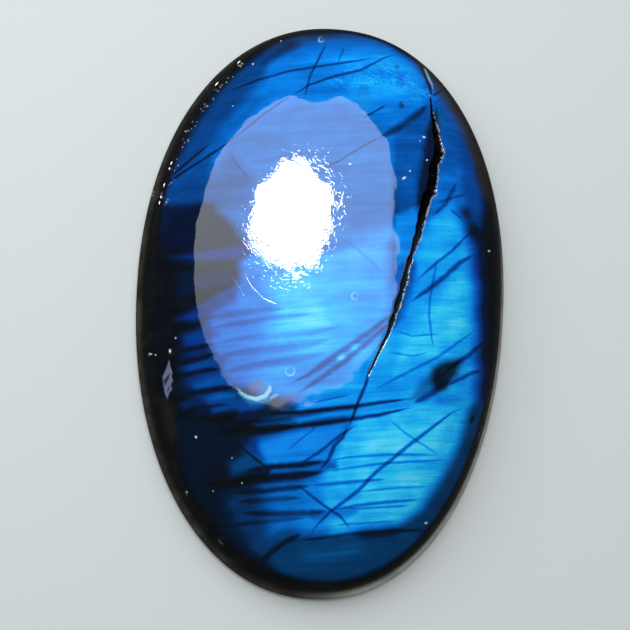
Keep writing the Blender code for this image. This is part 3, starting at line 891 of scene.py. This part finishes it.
def hollow(x, y, across, along, radius, length, depth):
    """Depth of one shallow hollow, whose edge is a little uneven."""
    uneven = 1 + HOLLOW_UNEVENNESS * wander(x, y, HOLLOW_RIPPLE * radius, SEED + 3)
    reach = (((x - across) / radius) ** 2 + ((y - along) / length) ** 2) * uneven
    return depth * np.maximum(0.0, 1 - reach)


def route_distance(x, y, route):
    """Signed distance to a route, how far along it the nearest place is, and the values given there.

    The route's rows are x, y and any more values. The distance is positive to the right of its direction.
    """
    rows = [np.asarray(row, float) for row in route]
    lengths = [np.hypot(*(end[:2] - start[:2])) for start, end in zip(rows[:-1], rows[1:])]
    best = np.full_like(x, np.inf)
    signed = np.full_like(x, np.inf)
    along = np.zeros_like(x)
    carried = [np.zeros_like(x) for _ in rows[0][2:]]
    passed = 0.0
    for start, end, length in zip(rows[:-1], rows[1:], lengths):
        run = (end - start)[:2]
        share = np.clip(((x - start[0]) * run[0] + (y - start[1]) * run[1]) / length**2, 0, 1)
        away_x = x - start[0] - share * run[0]
        away_y = y - start[1] - share * run[1]
        away = np.hypot(away_x, away_y)
        side = np.where(away_x * run[1] - away_y * run[0] > 0, 1.0, -1.0)
        nearer = away < best
        best = np.where(nearer, away, best)
        signed = np.where(nearer, away * side, signed)
        along = np.where(nearer, (passed + share * length) / sum(lengths), along)
        for index, values in enumerate(carried):
            there = start[2 + index] + share * (end[2 + index] - start[2 + index])
            carried[index] = np.where(nearer, there, values)
        passed += length
    return signed, along, carried


def along_fissure(x, y):
    """Signed distance to the middle of the fissure, how far along it that is, and its width there."""
    route = [tuple(value * MM for value in row) for row in FISSURE]
    signed, along, (width,) = route_distance(x, y, route)
    return signed, along, width


def fissure_place(x, y):
    """A point's place across the fissure (-1 at its right lip, 1 at its left), along it, and its width."""
    signed, along, width = along_fissure(x, y)
    ragged = 1 + LIP_RAGGEDNESS * wander(x, y, LIP_TOOTH, SEED)
    return signed / (width / 2 * ragged), along, width


def fissure_depth(x, y):
    """Depth of the fissure: deepest beside its middle, with a straight wall up to each lip."""
    place, along, width = fissure_place(x, y)
    deepest = 2 * FISSURE_DIP
    share = np.where(place > deepest, (1 - place) / (1 - deepest), (place + 1) / (deepest + 1))
    ends = smoothed(0, FISSURE_TAPER, along) * smoothed(0, FISSURE_TAPER, 1 - along)
    return (FISSURE_LEAST_DEPTH + FISSURE_DEPTH_PER_WIDTH * width) * np.clip(share, 0, 1) * ends


def glitter():
    """Plan places of the tiny nicks round the upper left shoulder."""
    rng = np.random.default_rng(SEED)
    angle = rng.uniform(*GLITTER_ANGLES, GLITTER)
    spread = rng.uniform(*GLITTER_SPREAD, GLITTER)
    across, along = np.cos(angle), np.sin(angle)
    spread /= superellipse(across, along, SQUARENESS)
    return np.stack([FOOT_WIDTH * across * spread, FOOT_LENGTH * along * spread], axis=-1)


def fine_places():
    """Where the mesh is divided more finely: plan places with the reach across and along of each."""
    places = [tuple(value * MM for value in row[:4]) for row in HOLLOWS.values()]
    spots = [(x, y, NICK_REACH * NICK_RADIUS) for x, y in NICK_GLINTS]
    spots += [(x, y, radius) for x, y, radius, _ in RINGS]
    for pixel_x, pixel_y, reach in spots:
        x, y, _ = on_stone(pixel_x, pixel_y)
        places.append((x, y, reach * PIXEL, reach * PIXEL))
    return places + [(x, y, NICK_RADIUS * PIXEL, NICK_RADIUS * PIXEL) for x, y in glitter()]


def refined(shape):
    """Divides the edges near the fissure and the small marks more finely."""
    middles = np.array([(edge.verts[0].co + edge.verts[1].co) / 2 for edge in shape.edges])
    x, y, z = middles.T
    signed, _, width = along_fissure(x, y)
    chosen = np.abs(signed) < width / 2 + FINE_MARGIN
    for across, along, radius, length in fine_places():
        reach = np.hypot((x - across) / radius, (y - along) / length)
        chosen |= reach < 1 + FINE_MARGIN / radius / 2
    chosen &= z > BEVEL_HEIGHT
    edges = [edge for edge, wanted in zip(shape.edges, chosen) if wanted]
    bmesh.ops.subdivide_edges(shape, edges=edges, cuts=FINE_CUTS, use_grid_fill=True)
    bmesh.ops.triangulate(shape, faces=[face for face in shape.faces if len(face.verts) > 4])


def read_points(points, field, columns):
    """What the points hold, with a row for each."""
    values = np.zeros(len(points) * columns)
    points.foreach_get(field, values)
    return values.reshape(-1, columns)


def carved_mesh(material):
    """The stone's form with its fissure, hollows and waves, and the plain place and ring of each point."""
    mesh = form_mesh(material)
    shape = bmesh.new()
    shape.from_mesh(mesh)
    refined(shape)
    bmesh.ops.recalc_face_normals(shape, faces=shape.faces[:])
    shape.to_mesh(mesh)
    shape.free()
    plain = read_points(mesh.vertices, "co", 3)
    ring = read_points(mesh.attributes["ring"].data, "value", 1)[:, 0]
    on_dome = ring < 0.5
    x, y = plain[on_dome].T[:2]
    plain[on_dome, 2] = height_at(x, y)
    normals = read_points(mesh.vertices, "normal", 3)
    normals[on_dome] = normal_at(x, y)
    depth = np.zeros(len(plain))
    shaped = ring < WALL_STEPS
    depth[shaped] = relief(*plain[shaped].T[:2])
    depth[on_dome] += fissure_depth(x, y)
    mesh.vertices.foreach_set("co", (plain - normals * depth[:, None]).ravel())
    mesh.update()
    return mesh, plain, ring


# What is painted on the points of the mesh


def inside(x, y, corners, softness):
    """1 inside a polygon and 0 outside it, with an edge that is this many pixels soft."""
    nearest = np.full_like(x, np.inf)
    within = np.zeros(x.shape, bool)
    for (x0, y0), (x1, y1) in zip(corners, corners[1:] + corners[:1]):
        run_x, run_y = x1 - x0, y1 - y0
        share = np.clip(((x - x0) * run_x + (y - y0) * run_y) / (run_x**2 + run_y**2), 0, 1)
        nearest = np.minimum(nearest, np.hypot(x - x0 - share * run_x, y - y0 - share * run_y))
        crosses = (y0 > y) != (y1 > y)
        within ^= crosses & (x < x0 + (y - y0) * run_x / (run_y or 1))
    return smoothed(-softness, softness, np.where(within, nearest, -nearest))


def flash_field(x, y):
    """Tone and hue of the flash at each pixel, with the pools' edges drawn out along the stone's layers."""
    layer_x = x * math.cos(LAYER_LEAN) - y * math.sin(LAYER_LEAN)
    layer_y = x * math.sin(LAYER_LEAN) + y * math.cos(LAYER_LEAN)
    x = x + POOL_WANDER * wander(layer_x / POOL_STRETCH, layer_y, POOL_RIPPLES[0], SEED + 1)
    y = y + POOL_WANDER * wander(layer_x / POOL_STRETCH, layer_y, POOL_RIPPLES[1], SEED + 2)
    tone = np.full_like(x, BODY_TONE)
    hue = np.zeros_like(x)
    for pool_tone, pool_hue, softness, corners in POOLS.values():
        cover = inside(x, y, corners, softness)
        tone += (pool_tone - tone) * cover
        hue += (pool_hue - hue) * cover
    return tone, hue


def marks_field(x, y):
    """Colour and opacity of the marks at each pixel, painted glints and highlights among them."""
    colour = np.zeros((len(x), 4))
    for paint, opacity, softness, corners in MARKS.values():
        lay(colour, PAINTS[paint], opacity * inside(x, y, corners, softness))
    rng = np.random.default_rng(SEED)
    shoulder = glitter()
    seen = seen_at(np.column_stack([shoulder, height_at(*shoulder.T)]))
    # Painted glints: white on the listed nicks, gold on the shoulder's row
    nicks = [(place, "white", 1.0) for place in NICK_GLINTS]
    nicks += [(place, "gold", GLITTER_OPACITY) for place in zip(*seen)]
    for (across, down), paint, opacity in nicks:
        turn = rng.uniform(0, math.tau)
        radius = NICK_RADIUS * opacity * rng.uniform(*NICK_SIZES)
        run = (x - across) * math.cos(turn) + (y - down) * math.sin(turn)
        rise = (y - down) * math.cos(turn) - (x - across) * math.sin(turn)
        away = np.hypot(run / rng.uniform(*NICK_STRETCH), rise) / radius
        lay(colour, PAINTS[paint], opacity * (1 - smoothed(*NICK_EDGE, away)))
    # Painted highlight rings on the pits' rims, lit on one side and shaded on the other
    for across, down, radius, half in RINGS:
        away = np.abs(np.hypot(x - across, y - down) - radius) / half
        turn = np.arctan2(y - down, x - across) - rng.uniform(0, math.tau)
        lit = 1 - RING_SHADE + RING_SHADE * np.cos(turn)
        lay(colour, PAINTS["ice"], RING_OPACITY * lit * (1 - smoothed(*RING_EDGE, away)))
    return colour


def lay(colour, paint, cover):
    """Lays paint over the colours that are there already."""
    old = colour[:, 3] * (1 - cover)
    whole = np.maximum(old + cover, TINY)
    for channel, value in enumerate(linear(paint)[:3]):
        colour[:, channel] = (colour[:, channel] * old + value * cover) / whole
    colour[:, 3] = old + cover


def seam_layers(x, y, seams):
    """Groups seams into layers in which no two come near each other.

    A layer holds three numbers for each point: its place across the nearest seam in half widths, that seam's
    darkness there, and its softness. Past a seam's reach the place keeps its side, so no line shows there.
    """
    layers = []
    for half_width, darkness, softness, route in seams:
        signed, along, _ = route_distance(x, y, route)
        ends = np.minimum(along, 1 - along)
        place = signed / half_width / (SEAM_POINT + (1 - SEAM_POINT) * smoothed(0, SEAM_NARROWING, ends))
        away = np.abs(place)
        strength = darkness * smoothed(0, SEAM_TAPER, ends) * (1 - smoothed(SEAM_FADE, LAYER_REACH, away))
        place = place.clip(-LAYER_REACH, LAYER_REACH)
        values = np.stack([place, strength, np.full_like(x, softness)], axis=-1)
        for layer, nearest in layers:
            if not np.any((nearest < LAYER_REACH) & (away < LAYER_REACH)):
                break
        else:
            layer, nearest = np.zeros((len(x), 3)), np.full(len(x), np.inf)
            layers.append((layer, nearest))
        nearer = away < nearest
        layer[nearer] = values[nearer]
        nearest[nearer] = away[nearer]
    return [layer for layer, _ in layers]


def write_points(mesh, name, kind, values):
    """Keeps a row of values for each point of the mesh."""
    attribute = mesh.attributes.new(name, kind, "POINT")
    field = "color" if kind == "FLOAT_COLOR" else "vector"
    attribute.data.foreach_set(field, np.ascontiguousarray(values, dtype=np.float32).ravel())


def scuffed_at(x, y):
    """How scuffed the polish is at each pixel."""
    across = (x - LAMP_MIDDLE[0]) / LAMP_HALF_SIZES[0]
    down = (y - LAMP_MIDDLE[1]) / LAMP_HALF_SIZES[1]
    near_lamp = 1 - smoothed(*SCUFF_FADE, np.hypot(across, down))
    return SCUFFED_ALL_OVER + (1 - SCUFFED_ALL_OVER) * near_lamp


def paint_stone(mesh, plain, ring):
    """Writes every painted field on the mesh, and gives the number of seam layers."""
    x, y = seen_at(plain)
    on_dome = (ring < 0.5).astype(float)
    spread = spread_at(plain[:, 0], plain[:, 1])
    tone, hue = flash_field(x, y)
    tone *= on_dome * (1 - smoothed(*RIM_FADE, spread))
    feather = sum(inside(x, y, corners, FEATHER_SOFTNESS) for corners in FEATHERS) * on_dome
    write_points(mesh, "flash", "FLOAT_VECTOR", np.stack([tone, hue, feather], axis=-1))
    side = smoothed(*WALL_FADE, ring)
    back = smoothed(WALL_STEPS, WALL_STEPS + BEVEL_STEPS, ring)
    write_points(mesh, "surface", "FLOAT_VECTOR", np.stack([side, back, scuffed_at(x, y)], axis=-1))
    marks = marks_field(x, y)
    marks[:, 3] *= on_dome
    write_points(mesh, "marks", "FLOAT_COLOR", marks)
    place, along, width = fissure_place(plain[:, 0], plain[:, 1])
    place = np.clip(np.where(on_dome > 0, place, FISSURE_FAR), -FISSURE_FAR, FISSURE_FAR)
    write_points(mesh, "fissure", "FLOAT_VECTOR", np.stack([place, along, width / MM], axis=-1))
    scratches = [(half, 1.0, SCRATCH_SOFTNESS, route) for half, route in SCRATCHES.values()]
    write_points(mesh, "scratch", "FLOAT_VECTOR", seam_layers(x, y, scratches)[0])
    layers = seam_layers(x, y, SEAMS.values())
    for number, layer in enumerate(layers):
        layer[:, 1] *= on_dome
        write_points(mesh, f"seams_{number}", "FLOAT_VECTOR", layer)
    return len(layers)


def stone_piece():
    material = bpy.data.materials.new("labradorite")
    mesh, plain, ring = carved_mesh(material)
    stone = new_object("stone", mesh)
    mesh.shade_smooth()
    mesh.set_sharp_from_angle(angle=SHARP_ANGLE)
    finish_stone(material, paint_stone(mesh, plain, ring))
    return stone


# Colour and finish


def linear(colour):
    """A screen colour of 0 to 255 as the linear colour that Blender reads, by the sRGB formula."""
    channels = []
    for value in colour:
        share = value / 255
        channels.append(share / 12.92 if share <= 0.04045 else ((share + 0.055) / 1.055) ** 2.4)
    return (*channels, 1.0)


def attribute(tree, name):
    return add(tree, "ShaderNodeAttribute", attribute_name=name)


def painted(tree, name):
    """The three numbers of a field that is painted on the mesh."""
    return components(tree, attribute(tree, name).outputs["Vector"])


def place_on_stone(tree):
    return add(tree, "ShaderNodeTexCoord").outputs["Object"]


def grain(tree, name):
    """Noise of about 0 to 1, as its row in the table of grains says."""
    cells, turn, detail, seed, ramp = GRAINS[name]
    placing = {
        "Vector": place_on_stone(tree),
        "Rotation": (0, 0, turn),
        "Scale": [cell * MM for cell in cells],
    }
    mapping = add(tree, "ShaderNodeMapping", placing, vector_type="TEXTURE")
    values = {"Vector": mapping.outputs[0], "W": seed, "Scale": 1.0, "Detail": detail}
    noise = add(tree, "ShaderNodeTexNoise", values, noise_dimensions="4D")
    value = Field(tree, noise.outputs[0])
    return value if ramp is None else value.ramped(*ramp)


def palette(tree, value, stops):
    """A colour that runs through these stops: places from 0 to 1, and screen colours."""
    node = add(tree, "ShaderNodeValToRGB", {0: value})
    elements = node.color_ramp.elements
    elements.remove(elements[1])
    elements[0].position = stops[0][0]
    elements[0].color = linear(stops[0][1])
    for place, colour in stops[1:]:
        elements.new(place).color = linear(colour)
    return node.outputs[0]


def blended(tree, amount, first, second):
    return add(tree, "ShaderNodeMix", {0: amount, 6: first, 7: second}, data_type="RGBA").outputs[2]


def flash_tone(tree, layers):
    """The brightness of the flash: painted pools, streaked along the layers and cut by dark seams."""
    tone, hue, feather = painted(tree, "flash")
    varied = 1
    for name, weight in FLASH_GRAINS.items():
        varied = varied + (grain(tree, name) - 0.5) * weight
    tone = tone * varied
    tone = tone * (1 + grain(tree, "bright hairs") * HAIR_GAIN)
    flecks = grain(tree, "feather flecks") * FLECK_GAIN
    grit = grain(tree, "feather grit") * GRIT_GAIN
    tone = tone + feather * (flecks + grit - FEATHER_SHADE)
    waver = (grain(tree, "seam waver") - 0.5) * SEAM_WAVER
    for number in range(layers):
        place, darkness, softness = painted(tree, f"seams_{number}")
        edge = abs(place + waver)
        cover = edge.ramped(1 - softness, 1 + softness, 1.0, 0.0)
        tone = tone * (1 - cover * darkness)
    return tone, hue


def flash_colour(tree, tone, hue):
    """The flash is blue, and turns to indigo or teal by its hue."""
    plain = palette(tree, tone, BLUE_FLASH)
    indigo = palette(tree, tone, INDIGO_FLASH)
    teal = palette(tree, tone, TEAL_FLASH)
    return blended(tree, hue.clamped(), blended(tree, (hue * -1).clamped(), plain, teal), indigo)


def body_colour(tree):
    """Plain labradorite on the dome, dark grey with pale needles and a few blue glints, and on the side, with a
    painted highlight where it faces the lower right.
    """
    cloud = grain(tree, "body clouds")
    needles = grain(tree, "needles") * NEEDLE_SHARE
    glints = grain(tree, "glints") * GLINT_SHARE
    dome = blended(tree, needles, palette(tree, cloud, BODY), linear(NEEDLE))
    # Painted highlight: the side is painted paler the more it faces the lower right
    x, y, _ = components(tree, place_on_stone(tree))
    right, low = LIT_SIDE_AIM
    lit_side_share = (x / WIDTH * right - y / LENGTH * low).ramped(*LIT_SIDE_FACING)
    side = blended(tree, lit_side_share, palette(tree, cloud, SIDE_BODY), palette(tree, cloud, LIT_SIDE_PAINTED))
    return blended(tree, glints, dome, linear(GLINT)), side


def fissure_covers(tree):
    """How far a place is open hollow, pale right lip or brown left lip, and how teal the hollow is."""
    place, along, width = painted(tree, "fissure")
    ragged = place + (grain(tree, "lip teeth") - 0.5) * LIP_TEETH
    present = along.ramped(0.0, FISSURE_TAPER) * along.ramped(1 - FISSURE_TAPER, 1.0, 1.0, 0.0)
    hollow_cover = abs(ragged).ramped(*HOLLOW_EDGE, 1.0, 0.0) * present
    out_right = abs((ragged * -1 - 1) * width * 0.5 - LIP_OFFSET)
    out_left = abs((ragged - 1) * width * 0.5 - LIP_OFFSET)
    right = out_right.ramped(*PALE_LIP_FADE, 1.0, 0.0) * grain(tree, "lip chips")
    right = right * along.ramped(*PALE_LIP_START) * present
    left = out_left.ramped(*BROWN_LIP_FADE, 1.0, 0.0) * along.ramped(*BROWN_LIP_START) * present
    return hollow_cover, right, left, along.ramped(*TEAL_START)


def surface_bump(tree, scuffed, back):
    """Height of what is too fine for the mesh: dents, worm-like scuffs, scratches and saw marks."""
    dents = grain(tree, "dents") * SCUFF_DEPTH * DENT_SHARE
    worms = abs(grain(tree, "worms") - 0.5).ramped(0.0, WORM_WIDTH, 1.0, 0.0)
    scuffs = (dents + worms * grain(tree, "worn patches") * SCUFF_DEPTH) * scuffed
    place, strength, _ = painted(tree, "scratch")
    scratch = abs(place).ramped(0.0, 1.0, 1.0, 0.0) * strength * SCRATCH_DEPTH
    sawn = grain(tree, "saw marks") * back * SAW_DEPTH
    return sawn - scuffs - scratch


def finish_stone(material, layers):
    """Labradorite: a blue flash under a clear polish, dark seams, an open fissure and a dark body."""
    material.use_nodes = True
    tree = material.node_tree
    shader = tree.nodes["Principled BSDF"]
    side, back, scuffed = painted(tree, "surface")
    tone, hue = flash_tone(tree, layers)
    marks = attribute(tree, "marks")
    hollow_cover, right_lip, left_lip, teal = fissure_covers(tree)
    dome_body, side_colour_and_highlight = body_colour(tree)
    colour = blended(tree, tone.ramped(*FLASH_SHOWS), dome_body, flash_colour(tree, tone, hue))
    colour = blended(tree, marks.outputs["Alpha"], colour, marks.outputs["Color"])
    depths = blended(tree, teal, linear(HOLLOW), linear(TEAL_HOLLOW))
    colour = blended(tree, hollow_cover, colour, depths)
    colour = blended(tree, left_lip * BROWN_LIP_SHARE, colour, linear(BROWN_LIP))
    colour = blended(tree, right_lip, colour, linear(PALE_LIP))
    colour = blended(tree, side, colour, side_colour_and_highlight)
    colour = blended(tree, back, colour, palette(tree, grain(tree, "sawn mottling"), SAWN))
    feed(tree, shader.inputs["Base Color"], colour)
    rough = POLISH_ROUGHNESS + side * SIDE_ROUGHNESS + back * BACK_ROUGHNESS
    rough = rough + hollow_cover * HOLLOW_ROUGHNESS + right_lip * LIP_ROUGHNESS
    feed(tree, shader.inputs["Roughness"], rough.clamped())
    shader.inputs["IOR"].default_value = REFRACTION
    bump = add(tree, "ShaderNodeBump", {"Distance": 1.0, "Height": surface_bump(tree, scuffed, back)})
    feed(tree, shader.inputs["Normal"], bump.outputs[0])


# Floor and light


def make_floor():
    data = bpy.data.meshes.new("floor")
    floor = new_object("floor", data)
    shape = bmesh.new()
    bmesh.ops.create_grid(shape, x_segments=1, y_segments=1, size=FLOOR_HALF_SIZE)
    shape.to_mesh(data)
    shape.free()
    material = bpy.data.materials.new("pale floor")
    material.use_nodes = True
    shader = material.node_tree.nodes["Principled BSDF"]
    shader.inputs["Base Color"].default_value = FLOOR_COLOUR
    shader.inputs["Roughness"].default_value = FLOOR_ROUGHNESS
    data.materials.append(material)
    floor.visible_glossy = False


def emission(name, strength):
    """Light of one colour, whose strength follows the glow that is written on the card's points."""
    material = bpy.data.materials.new(name)
    material.use_nodes = True
    tree = material.node_tree
    tree.nodes.clear()
    glow = Field(tree, attribute(tree, "glow").outputs["Fac"])
    shader = add(tree, "ShaderNodeEmission", {"Color": LIGHT_COLOUR, "Strength": glow * strength})
    add(tree, "ShaderNodeOutputMaterial", {"Surface": shader.outputs[0]})
    return material


def mirrored_card(name, outline, distance, material, glow_at):
    """A glowing card placed so that the camera sees it mirrored in the dome with this outline in pixels."""
    corners = np.array(outline, float)
    middle = corners.mean(axis=0)
    shares = np.maximum(np.linspace(0, 1, CARD_RINGS + 1), CARD_CORE)[:, None, None]
    pixels = middle + (corners - middle) * shares
    pixel_x, pixel_y = pixels[..., 0], pixels[..., 1]
    points = on_stone(pixel_x, pixel_y)
    normals = normal_at(points[..., 0], points[..., 1])
    views = np.array(AIM + camera_axes()[2] * DISTANCE) - points
    views /= np.linalg.norm(views, axis=-1, keepdims=True)
    aims = 2 * (normals * views).sum(axis=-1, keepdims=True) * normals - views
    shape = bmesh.new()
    rings = [[shape.verts.new(place) for place in row] for row in points + aims * distance]
    for inner, outer in zip(rings[:-1], rings[1:]):
        for segment, corner in enumerate(inner):
            after = (segment + 1) % len(inner)
            shape.faces.new((corner, outer[segment], outer[after], inner[after]))
    data = bpy.data.meshes.new(name)
    shape.to_mesh(data)
    shape.free()
    data.materials.append(material)
    glow = glow_at(pixel_x.ravel(), pixel_y.ravel())
    data.attributes.new("glow", "FLOAT", "POINT").data.foreach_set("value", glow)
    card = new_object(name, data)
    card.visible_camera = False
    card.visible_shadow = False
    return card


def card_glow(pixel_x, pixel_y):
    """The large card fades towards its lower end."""
    return 1 + (CARD_FADED - 1) * smoothed(*CARD_FADE, pixel_y)


def lamp_glow(pixel_x, pixel_y):
    """The lamp fades towards its lower left edge."""
    run = (pixel_x - LAMP_FADE_FROM[0]) * math.cos(LAMP_FADE_TURN)
    run += (pixel_y - LAMP_FADE_FROM[1]) * math.sin(LAMP_FADE_TURN)
    return 1 - LAMP_LOSS * smoothed(*LAMP_FADE, run)


def make_light():
    mirrored_card("card", CARD_OUTLINE, CARD_DISTANCE, emission("card", CARD_STRENGTH), card_glow)
    lamp = mirrored_card("lamp", LAMP_OUTLINE, LAMP_DISTANCE, emission("lamp", LAMP_STRENGTH), lamp_glow)
    lamp.visible_diffuse = False
    world = bpy.data.worlds.new("studio")
    bpy.context.scene.world = world
    world.use_nodes = True
    tree = world.node_tree
    tree.nodes.clear()
    path = add(tree, "ShaderNodeLightPath")
    shown = add(tree, "ShaderNodeBackground", {"Color": WORLD_COLOUR, "Strength": WORLD_GLOSS}).outputs[0]
    for ray, colour, strength in (
        ("Is Diffuse Ray", WORLD_COLOUR, WORLD_LIGHT),
        ("Is Camera Ray", WORLD_SEEN, 1.0),
    ):
        sky = add(tree, "ShaderNodeBackground", {"Color": colour, "Strength": strength}).outputs[0]
        shown = add(tree, "ShaderNodeMixShader", {0: path.outputs[ray], 1: shown, 2: sky}).outputs[0]
    add(tree, "ShaderNodeOutputWorld", {"Surface": shown})
    bpy.context.scene.view_settings.view_transform = "Standard"


make_camera()
make_floor()
make_light()
stone = stone_piece()
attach(stone, "root")
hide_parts("cabochon")
